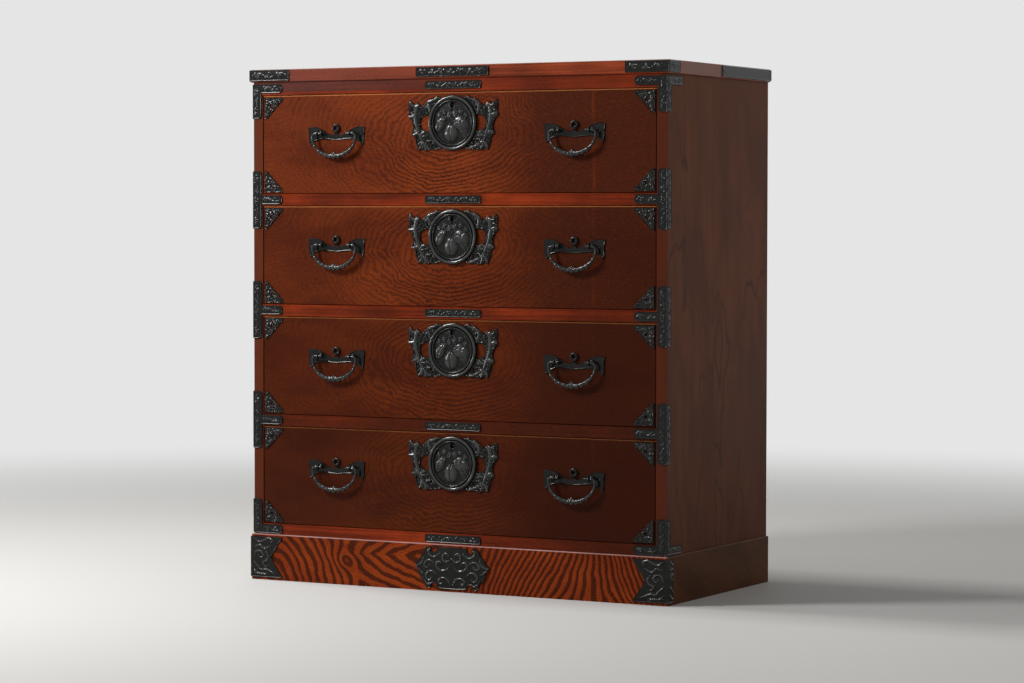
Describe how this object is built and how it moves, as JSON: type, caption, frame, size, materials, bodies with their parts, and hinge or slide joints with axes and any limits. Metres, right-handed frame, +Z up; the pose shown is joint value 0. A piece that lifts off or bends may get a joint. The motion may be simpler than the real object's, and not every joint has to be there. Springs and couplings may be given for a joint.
{
  "type": "chest of drawers",
  "caption": "Small lacquered tansu chest on a plinth, with full-width drawers, swinging bail handles, drawer locks and black relief ironwork on its corners, rails and plinth",
  "frame": {"origin": "centre of the whole chest's footprint, handles included, on the ground under the plinth", "axes": "+X to the chest's right as seen from the front, the front faces -Y, +Z up"},
  "size_m": [0.6108, 0.308, 0.6665],
  "materials": {
    "lacquered_wood": "red-brown transparent lacquer on figured wood, satin to glossy",
    "plain_wood": "planed, unfinished light wood",
    "black_iron": "black-finished sheet iron with chased relief, satin"
  },
  "bodies": {
    "carcass": {"top_board": "lacquered_wood", "side_panel_left": "lacquered_wood", "side_panel_right": "lacquered_wood", "bottom_board": "lacquered_wood", "back_panel": "plain_wood", "front_rails": "lacquered_wood", "runners": "plain_wood", "rear_rails": "plain_wood", "dust_panels": "plain_wood", "drawer_stops": "plain_wood", "plinth_front": "lacquered_wood", "plinth_sides": "lacquered_wood", "plinth_back": "plain_wood", "plinth_blocks": "plain_wood", "top_board_plates": "black_iron", "frame_brackets": "black_iron", "rail_strips": "black_iron", "plinth_plates": "black_iron", "carcass_nails": "black_iron"},
    "drawer_1": {"drawer_1_front": "lacquered_wood", "drawer_1_sides": "plain_wood", "drawer_1_back": "plain_wood", "drawer_1_bottom": "plain_wood", "drawer_1_fittings": "black_iron", "drawer_1_lock_plate": "black_iron", "drawer_1_lock_case": "black_iron"},
    "lock_bolt_1": {"drawer_1_lock_bolt": "black_iron"},
    "bail_1_left": {"drawer_1_bail_left": "black_iron"},
    "bail_1_right": {"drawer_1_bail_right": "black_iron"},
    "drawer_2": {"drawer_2_front": "lacquered_wood", "drawer_2_sides": "plain_wood", "drawer_2_back": "plain_wood", "drawer_2_bottom": "plain_wood", "drawer_2_fittings": "black_iron", "drawer_2_lock_plate": "black_iron", "drawer_2_lock_case": "black_iron"},
    "lock_bolt_2": {"drawer_2_lock_bolt": "black_iron"},
    "bail_2_left": {"drawer_2_bail_left": "black_iron"},
    "bail_2_right": {"drawer_2_bail_right": "black_iron"},
    "drawer_3": {"drawer_3_front": "lacquered_wood", "drawer_3_sides": "plain_wood", "drawer_3_back": "plain_wood", "drawer_3_bottom": "plain_wood", "drawer_3_fittings": "black_iron", "drawer_3_lock_plate": "black_iron", "drawer_3_lock_case": "black_iron"},
    "lock_bolt_3": {"drawer_3_lock_bolt": "black_iron"},
    "bail_3_left": {"drawer_3_bail_left": "black_iron"},
    "bail_3_right": {"drawer_3_bail_right": "black_iron"},
    "drawer_4": {"drawer_4_front": "lacquered_wood", "drawer_4_sides": "plain_wood", "drawer_4_back": "plain_wood", "drawer_4_bottom": "plain_wood", "drawer_4_fittings": "black_iron", "drawer_4_lock_plate": "black_iron", "drawer_4_lock_case": "black_iron"},
    "lock_bolt_4": {"drawer_4_lock_bolt": "black_iron"},
    "bail_4_left": {"drawer_4_bail_left": "black_iron"},
    "bail_4_right": {"drawer_4_bail_right": "black_iron"}
  },
  "joints": [
    {"name": "drawer_1_slide", "type": "slide", "parent": "carcass", "child": "drawer_1", "axis": [0, -1, 0], "range_m": [0, 0.22]},
    {"name": "bail_1_left_swing", "type": "hinge", "parent": "drawer_1", "child": "bail_1_left", "pos_m": [-0.173, -0.1506, 0.5821], "axis": [-1, 0, 0], "range_deg": [-6, 180]},
    {"name": "bail_1_right_swing", "type": "hinge", "parent": "drawer_1", "child": "bail_1_right", "pos_m": [0.173, -0.1506, 0.5821], "axis": [-1, 0, 0], "range_deg": [-6, 180]},
    {"name": "lock_bolt_1_slide", "type": "slide", "parent": "drawer_1", "child": "lock_bolt_1", "axis": [0, 0, 1], "range_m": [0, 0.006]},
    {"name": "drawer_2_slide", "type": "slide", "parent": "carcass", "child": "drawer_2", "axis": [0, -1, 0], "range_m": [0, 0.22]},
    {"name": "bail_2_left_swing", "type": "hinge", "parent": "drawer_2", "child": "bail_2_left", "pos_m": [-0.173, -0.1506, 0.4386], "axis": [-1, 0, 0], "range_deg": [-6, 180]},
    {"name": "bail_2_right_swing", "type": "hinge", "parent": "drawer_2", "child": "bail_2_right", "pos_m": [0.173, -0.1506, 0.4386], "axis": [-1, 0, 0], "range_deg": [-6, 180]},
    {"name": "lock_bolt_2_slide", "type": "slide", "parent": "drawer_2", "child": "lock_bolt_2", "axis": [0, 0, 1], "range_m": [0, 0.006]},
    {"name": "drawer_3_slide", "type": "slide", "parent": "carcass", "child": "drawer_3", "axis": [0, -1, 0], "range_m": [0, 0.22]},
    {"name": "bail_3_left_swing", "type": "hinge", "parent": "drawer_3", "child": "bail_3_left", "pos_m": [-0.173, -0.1506, 0.2951], "axis": [-1, 0, 0], "range_deg": [-6, 180]},
    {"name": "bail_3_right_swing", "type": "hinge", "parent": "drawer_3", "child": "bail_3_right", "pos_m": [0.173, -0.1506, 0.2951], "axis": [-1, 0, 0], "range_deg": [-6, 180]},
    {"name": "lock_bolt_3_slide", "type": "slide", "parent": "drawer_3", "child": "lock_bolt_3", "axis": [0, 0, 1], "range_m": [0, 0.006]},
    {"name": "drawer_4_slide", "type": "slide", "parent": "carcass", "child": "drawer_4", "axis": [0, -1, 0], "range_m": [0, 0.22]},
    {"name": "bail_4_left_swing", "type": "hinge", "parent": "drawer_4", "child": "bail_4_left", "pos_m": [-0.173, -0.1506, 0.1516], "axis": [-1, 0, 0], "range_deg": [-6, 180]},
    {"name": "bail_4_right_swing", "type": "hinge", "parent": "drawer_4", "child": "bail_4_right", "pos_m": [0.173, -0.1506, 0.1516], "axis": [-1, 0, 0], "range_deg": [-6, 180]},
    {"name": "lock_bolt_4_slide", "type": "slide", "parent": "drawer_4", "child": "lock_bolt_4", "axis": [0, 0, 1], "range_m": [0, 0.006]}
  ]
}
